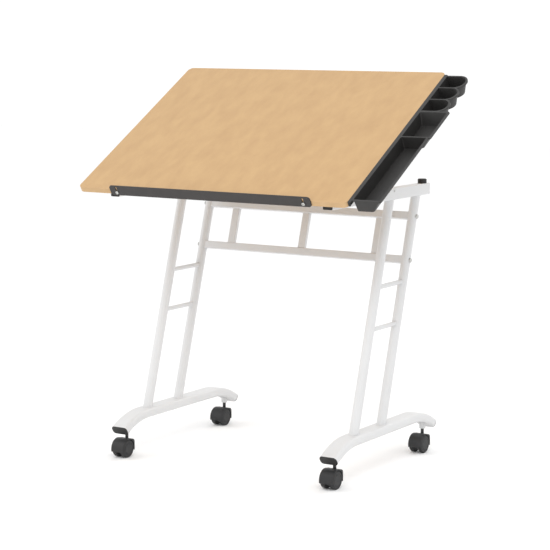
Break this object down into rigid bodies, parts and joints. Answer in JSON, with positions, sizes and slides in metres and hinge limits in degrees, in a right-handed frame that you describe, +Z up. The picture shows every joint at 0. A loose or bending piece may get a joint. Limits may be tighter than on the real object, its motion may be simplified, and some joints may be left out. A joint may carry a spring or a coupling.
{
  "type": "drafting table",
  "caption": "Tilting drafting table on casters: tubular side frames, pivoting wooden board with props, sliding pencil ledge and moulded side tray.",
  "frame": {"origin": "on the floor, under the middle of the table's overall outline", "axes": "+X to the table's right (the side tray's side), +Y to the back, +Z up; the user sits at -Y"},
  "size_m": [0.9096, 0.6096, 1.0318],
  "materials": {
    "board_wood": "light maple laminate, satin, fine straight grain",
    "board_edge": "matching edge band, satin",
    "tray_plastic": "moulded charcoal plastic with a fine texture",
    "ledge_plastic": "satin black extrusion",
    "black_plastic": "moulded black plastic",
    "white_plastic": "moulded white plastic",
    "rubber": "black rubber",
    "caster_plastic": "moulded black nylon",
    "caster_tread": "moulded black nylon wheel",
    "black_steel": "blackened steel",
    "zinc_steel": "zinc-plated steel",
    "bracket_steel": "black powder coat",
    "white_powder": "white powder coat"
  },
  "bodies": {
    "frame": {"arm_bumpers": "rubber", "arm_front_caps": "black_plastic", "arm_left": "white_powder", "arm_rear_caps": "white_plastic", "arm_right": "white_powder", "bar_centre": "white_powder", "bar_left": "white_powder", "bar_right": "white_powder", "bottom_rail": "white_powder", "caster_sockets": "white_powder", "foot_end_caps": "black_plastic", "foot_left": "white_powder", "foot_right": "white_powder", "pivot_fasteners": "zinc_steel", "rail_bolts": "zinc_steel", "rail_plugs": "black_plastic", "rungs_left": "white_powder", "rungs_right": "white_powder", "top_rail": "white_powder", "track_left": "bracket_steel", "track_right": "bracket_steel", "track_screws": "zinc_steel", "upright_front_left": "white_powder", "upright_front_right": "white_powder", "upright_rear_left": "white_powder", "upright_rear_right": "white_powder"},
    "board": {"board_panel": "board_wood", "bracket_screws": "zinc_steel", "edge_banding": "board_edge", "ledge_screws": "zinc_steel", "pivot_bracket_left": "bracket_steel", "pivot_bracket_right": "bracket_steel", "side_tray": "tray_plastic", "stay_bracket_left": "bracket_steel", "stay_bracket_right": "bracket_steel", "stay_rivets": "zinc_steel", "tray_screws": "zinc_steel"},
    "ledge": {"pencil_ledge": "ledge_plastic"},
    "stay_left": {"stay_left": "bracket_steel", "clamp_bolt_left": "zinc_steel"},
    "knob_left": {"clamp_knob_left": "black_plastic"},
    "stay_right": {"stay_right": "bracket_steel", "clamp_bolt_right": "zinc_steel"},
    "knob_right": {"clamp_knob_right": "black_plastic"},
    "caster_front_left": {"caster_hood_front_left": "caster_plastic", "caster_stem_front_left": "black_steel", "caster_axle_front_left": "zinc_steel"},
    "wheels_front_left": {"caster_wheels_front_left": "caster_tread"},
    "caster_front_right": {"caster_hood_front_right": "caster_plastic", "caster_stem_front_right": "black_steel", "caster_axle_front_right": "zinc_steel"},
    "wheels_front_right": {"caster_wheels_front_right": "caster_tread"},
    "caster_rear_left": {"caster_hood_rear_left": "caster_plastic", "caster_stem_rear_left": "black_steel", "caster_axle_rear_left": "zinc_steel"},
    "wheels_rear_left": {"caster_wheels_rear_left": "caster_tread"},
    "caster_rear_right": {"caster_hood_rear_right": "caster_plastic", "caster_stem_rear_right": "black_steel", "caster_axle_rear_right": "zinc_steel"},
    "wheels_rear_right": {"caster_wheels_rear_right": "caster_tread"}
  },
  "joints": [
    {"name": "board_tilt", "type": "hinge", "parent": "frame", "child": "board", "pos_m": [-0.04275, -0.22856, 0.7205], "axis": [1, 0, 0], "range_deg": [-30, 0]},
    {"name": "ledge_slide", "type": "slide", "parent": "board", "child": "ledge", "axis": [0, -0.5, 0.866], "range_m": [-0.015, 0]},
    {"name": "stay_left_fold", "type": "hinge", "parent": "board", "child": "stay_left", "pos_m": [-0.34325, -0.06835, 0.813], "axis": [1, 0, 0], "range_deg": [0, 60]},
    {"name": "clamp_knob_left_turn", "type": "hinge", "parent": "stay_left", "child": "knob_left", "pos_m": [-0.33475, 0.09187, 0.7205], "axis": [1, 0, 0], "continuous": true},
    {"name": "stay_right_fold", "type": "hinge", "parent": "board", "child": "stay_right", "pos_m": [0.25775, -0.06835, 0.813], "axis": [1, 0, 0], "range_deg": [0, 60]},
    {"name": "clamp_knob_right_turn", "type": "hinge", "parent": "stay_right", "child": "knob_right", "pos_m": [0.24925, 0.09187, 0.7205], "axis": [1, 0, 0], "continuous": true},
    {"name": "caster_front_left_swivel", "type": "hinge", "parent": "frame", "child": "caster_front_left", "pos_m": [-0.36725, -0.20766, 0.0555], "axis": [0, 0, 1], "continuous": true},
    {"name": "caster_front_left_roll", "type": "hinge", "parent": "caster_front_left", "child": "wheels_front_left", "pos_m": [-0.36725, -0.22566, 0.024], "axis": [1, 0, 0], "continuous": true},
    {"name": "caster_front_right_swivel", "type": "hinge", "parent": "frame", "child": "caster_front_right", "pos_m": [0.28175, -0.20766, 0.0555], "axis": [0, 0, 1], "continuous": true},
    {"name": "caster_front_right_roll", "type": "hinge", "parent": "caster_front_right", "child": "wheels_front_right", "pos_m": [0.28175, -0.22566, 0.024], "axis": [1, 0, 0], "continuous": true},
    {"name": "caster_rear_left_swivel", "type": "hinge", "parent": "frame", "child": "caster_rear_left", "pos_m": [-0.36725, 0.26714, 0.0555], "axis": [0, 0, 1], "continuous": true},
    {"name": "caster_rear_left_roll", "type": "hinge", "parent": "caster_rear_left", "child": "wheels_rear_left", "pos_m": [-0.36725, 0.24914, 0.024], "axis": [1, 0, 0], "continuous": true},
    {"name": "caster_rear_right_swivel", "type": "hinge", "parent": "frame", "child": "caster_rear_right", "pos_m": [0.28175, 0.26714, 0.0555], "axis": [0, 0, 1], "continuous": true},
    {"name": "caster_rear_right_roll", "type": "hinge", "parent": "caster_rear_right", "child": "wheels_rear_right", "pos_m": [0.28175, 0.24914, 0.024], "axis": [1, 0, 0], "continuous": true}
  ],
  "couplings": [
    {"joint": "stay_left_fold", "follows": "board_tilt", "ratio": -2},
    {"joint": "stay_right_fold", "follows": "board_tilt", "ratio": -2}
  ]
}
